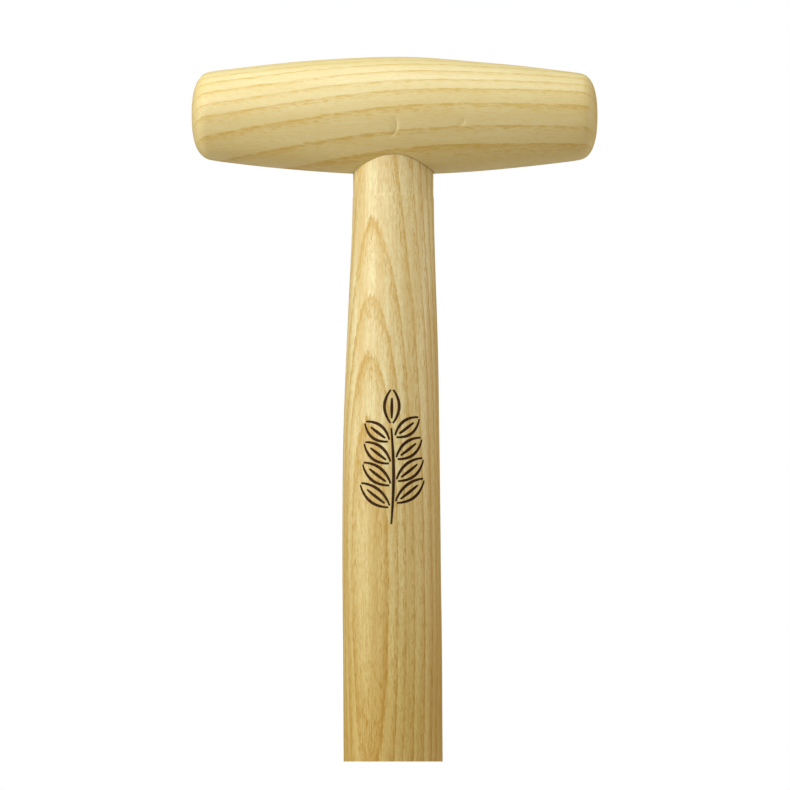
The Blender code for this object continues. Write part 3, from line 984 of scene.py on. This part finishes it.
def make_tread(side, lacquer):
    """One foot bar, its inner end fitted to the socket."""
    low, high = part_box(f"tread_{side}")
    sign = -1 if side == "left" else 1
    reach = max(abs(low.x), abs(high.x))
    half = high.y
    centre = (reach - TREAD_CORNER, TREAD_CORNER - half)
    front = [
        (centre[0] + TREAD_CORNER * math.sin(turn), centre[1] - TREAD_CORNER * math.cos(turn))
        for turn in np.linspace(0, math.pi / 2, ARC_POINTS)
    ]
    back = [(x, -y) for x, y in reversed(front)]
    edge = [(SOCKET_RADIUS / 2, -half), *front, *back, (SOCKET_RADIUS / 2, half)]
    rings = [[(sign * x, y, z) for x, y in edge] for z in (low.z, high.z)]
    tread = piece_of_rings(f"tread_bar_{side}", rings, lacquer)
    below, above = (0, 0, low.z - reach), (0, 0, high.z + reach)
    carve(tread, rod("coping", SOCKET_RADIUS + FIT, below, above, SOCKET_COLUMNS))
    soften(tread, TREAD_EDGE)
    shown(tread, "dark_lacquer", f"tread_{side}")


def draped(rings, past):
    """Points further out than this are pulled in to follow the socket's round side."""
    x, y = rings[..., 0], rings[..., 1]
    drop = SOCKET_RADIUS - np.sqrt(np.maximum(SOCKET_RADIUS**2 - x**2, 0))
    rings[..., 1] = np.where(np.abs(y) > past, y - np.sign(y) * drop, y)
    return rings


def dome(base, top, radius):
    """The (y, radius) points of a low dome, from its rim to the flat spot on top."""
    turns = np.linspace(0, math.pi / 2, ARC_POINTS)[:-1]
    arc = [(base + (top - base) * math.sin(turn), radius * math.cos(turn)) for turn in turns]
    return arc + [(top, RIVET_FLAT)]


def make_rivet(level, steel):
    """Domed head at the front, shank, and the tail peened over the burr."""
    low, high = RIVET_LEVELS[level]
    seat = -(SOCKET_RADIUS + FIT)
    inner = SOCKET_RADIUS - SOCKET_WALL
    head = dome(seat, low.y, high.x)
    shank = [(y, RIVET_RADIUS) for y in (seat, -inner, BURR_HIGH.y)]
    tail = dome(BURR_HIGH.y, high.y, RIVET_TAIL_RADIUS)
    outline = head[::-1] + shank + tail
    rings = turned_about_y(outline, round_angles(RIVET_COLUMNS), (low.z + high.z) / 2)
    rivet = piece_of_rings(f"rivet_fine_{level}", draped(rings, inner), steel)
    shown(rivet, "rivet_steel", f"rivet_{level}")


def make_burr(level, steel):
    """The washer under the peened tail, bent to the socket."""
    low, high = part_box(f"burr_{level}")
    under, face = SOCKET_RADIUS + FIT, high.y - FIT
    hole = RIVET_RADIUS + FIT
    section = [(under, hole), (under, high.x), (face, high.x), (face, hole)]
    outline = rounded_corners(section, BURR_LIP)
    rings = turned_about_y(outline, round_angles(BURR_COLUMNS), (low.z + high.z) / 2)
    burr = piece_of_rings(f"burr_fine_{level}", draped(rings, 0), steel, closed=True)
    shown(burr, "rivet_steel", f"burr_{level}")


def weld_bead(name, path, radius, lacquer, closed):
    """A rippled bead along (angle round the shaft, height) points on the socket's side."""
    angle, height = np.array(path).T
    out = np.column_stack([np.sin(angle), -np.cos(angle), 0 * angle])
    centre = np.column_stack([SOCKET_RADIUS * out[:, :2], height])
    if closed:
        ahead = np.roll(centre, -1, axis=0) - np.roll(centre, 1, axis=0)
    else:
        ahead = np.gradient(centre, axis=0)
    aside = np.cross(out, ahead)
    aside = aside / np.linalg.norm(aside, axis=1)[:, None]
    walked = np.cumsum(np.linalg.norm(ahead, axis=1)) / 2
    sizes = radius * (1 + WELD_SWELL * np.abs(np.sin(math.pi * walked / WELD_RIPPLE)))
    turns = np.linspace(0, 2 * math.pi, WELD_COLUMNS, endpoint=False)[:, None]
    rings = [
        middle + size * (WELD_RISE * np.sin(turns) * outward + np.cos(turns) * sideways)
        for middle, size, outward, sideways in zip(centre, sizes, out, aside)
    ]
    bead = piece_of_rings(name, rings, lacquer, closed)
    shown(bead, "dark_lacquer")


def make_welds(lacquer):
    """Beads round the point's top, up the closed part of the seam, and round each tread."""
    low = SOCKET_LOW.z
    count = round(2 * math.pi * SOCKET_RADIUS / WELD_STEP)
    circle = [(angle, low) for angle in np.linspace(0, 2 * math.pi, count, endpoint=False)]
    weld_bead("weld_point", circle, POINT_WELD_RADIUS, lacquer, closed=True)
    seam_end = low + SEAM_START - SEAM_WIDTH / 2
    seam = [(math.pi, height) for height in np.arange(low + 1.5 * MM, seam_end, WELD_STEP)]
    weld_bead("weld_seam", seam, SEAM_WELD_RADIUS, lacquer, closed=False)
    for side, middle in (("left", -math.pi / 2), ("right", math.pi / 2)):
        tread_low, tread_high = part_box(f"tread_{side}")
        half = SOCKET_RADIUS * math.asin(tread_high.y / SOCKET_RADIUS)
        bottom, top = tread_low.z, tread_high.z
        corners = [(-half, bottom), (half, bottom), (half, top), (-half, top)]
        flat = rounded_corners(corners, TREAD_WELD_RADIUS)
        flat = straight_outline(flat + flat[:1], WELD_STEP)[:-1]
        path = [(middle + across / SOCKET_RADIUS, height) for across, height in flat]
        weld_bead(f"weld_tread_{side}", path, TREAD_WELD_RADIUS, lacquer, closed=True)


# ---- Stage ---------------------------------------------------

def area_light(name, place, size, power, colour=(1, 1, 1)):
    """A round lamp that shines on the part of the tool in the photo."""
    light = bpy.data.lights.new(name, "AREA")
    light.shape = "DISK"
    light.size = size
    light.energy = power
    light.color = colour
    lamp = linked(name, light)
    lamp.location = place
    lamp.rotation_euler = (LIGHT_TARGET - Vector(place)).to_track_quat("-Z", "Y").to_euler()


def white_world(ambient):
    """White to the camera, and this dimmer warm light on everything else."""
    world = bpy.data.worlds.new("studio")
    bpy.context.scene.world = world
    world.use_nodes = True
    nodes, links = world.node_tree.nodes, world.node_tree.links
    path = nodes.new("ShaderNodeLightPath")
    colour = nodes.new("ShaderNodeMix")
    colour.data_type = "RGBA"
    colour.inputs[MIX_FIRST].default_value = (*ambient, 1.0)
    colour.inputs[MIX_SECOND].default_value = (1.0, 1.0, 1.0, 1.0)
    links.new(path.outputs["Is Camera Ray"], colour.inputs[MIX_FACTOR])
    links.new(colour.outputs[MIX_RESULT], nodes["Background"].inputs["Color"])


def make_floor():
    """A pale round floor that fades into the white round it. The camera sees it whiter."""
    shader = Shader("pale_floor")
    from_middle = shader.vector("LENGTH", shader.position(), output="Value")
    seen = shader.node("ShaderNodeLightPath", {}, "Is Camera Ray")
    radius_mm = FLOOR_RADIUS / MM
    fade = shader.span(from_middle, 0.30 * radius_mm, 0.95 * radius_mm)
    fade = shader.math("MAXIMUM", fade, shader.product(seen, 0.45))
    pale = shader.mix(seen, (0.88, 0.84, 0.70), (0.83, 0.90, 1.0))
    speckle = shader.span(shader.noise(shader.position(), 0.02), 0.3, 0.7, 0.0, 0.07)
    colour = shader.mix(speckle, pale, (0.5, 0.5, 0.5))
    shader.finish(Base_Color=colour, Roughness=0.9, Specular_IOR_Level=0.1)
    bare = shader.surface.outputs[0]
    material = shader.finish_blended(fade, bare, shader.glow())
    circle = [(math.sin(turn), math.cos(turn)) for turn in round_angles(FLOOR_COLUMNS)]
    rings = [
        [(FLOOR_RADIUS * x, FLOOR_RADIUS * y, height) for x, y in circle]
        for height in (0, -10 * MM)
    ]
    piece_of_rings("floor", rings, material)


def make_camera():
    """Straight ahead from the front, a hand's breadth below the grip, through a long lens."""
    data = bpy.data.cameras.new("camera")
    data.sensor_width = 36.0
    data.lens = data.sensor_width * CAMERA_DISTANCE / CAMERA_FIELD
    camera = linked("camera", data)
    camera.location = (CAMERA_ASIDE, -CAMERA_DISTANCE, GRIP_AXIS.z - CAMERA_DROP)
    camera.rotation_euler = (math.pi / 2, 0, 0)
    bpy.context.scene.camera = camera


def make_matte():
    """A white card just in front of the lens, which leaves a white margin under the cut-off shaft.

    It shows only to a camera right behind it, so it hides nothing from any other viewpoint.
    """
    shader = Shader("matte_card")
    ray = shader.node("ShaderNodeLightPath", {}, "Ray Length")
    near = shader.math("LESS_THAN", ray, MATTE_GLOW)
    clear = shader.node("ShaderNodeBsdfTransparent", {"Color": (1, 1, 1)})
    material = shader.finish_blended(near, clear, shader.glow())
    field = CAMERA_FIELD * MATTE_AHEAD / CAMERA_DISTANCE
    top = GRIP_AXIS.z - CAMERA_DROP - (0.5 - MATTE_SHARE) * field
    bottom = top - field / 4
    edge = [(-field, top), (field, top), (field, bottom), (-field, bottom)]
    front = MATTE_AHEAD - CAMERA_DISTANCE
    rings = [[(x, y, z) for x, z in edge] for y in (front - MM, front)]
    card = piece_of_rings("matte", rings, material)
    card.visible_diffuse = False
    card.visible_glossy = False
    card.visible_shadow = False


def make_stage():
    make_floor()
    white_world(ambient=(0.24, 0.15, 0.05))
    area_light("key", place=(-0.38, -0.53, 1.20), size=0.3, power=3.15)
    area_light("top", place=(0, -0.2, 1.9), size=0.8, power=8.2, colour=(0.83, 0.94, 1.06))
    area_light("left", place=(-1.2, -0.3, 1.0), size=0.6, power=4.0, colour=(1.0, 0.95, 0.82))
    area_light("right", place=(1.2, 0.1, 1.0), size=0.6, power=4.0, colour=(1.0, 0.94, 0.80))
    bpy.context.scene.view_settings.view_transform = "Standard"
    make_camera()
    make_matte()


def make_dibber():
    lacquer = lacquered_steel()
    steel = hammered_steel()
    make_grip()
    make_dowel()
    make_shaft()
    make_socket(lacquer)
    make_point()
    for side in ("left", "right"):
        make_tread(side, lacquer)
    for level in RIVET_LEVELS:
        make_rivet(level, steel)
        make_burr(level, steel)
    make_welds(lacquer)


make_dibber()
make_stage()
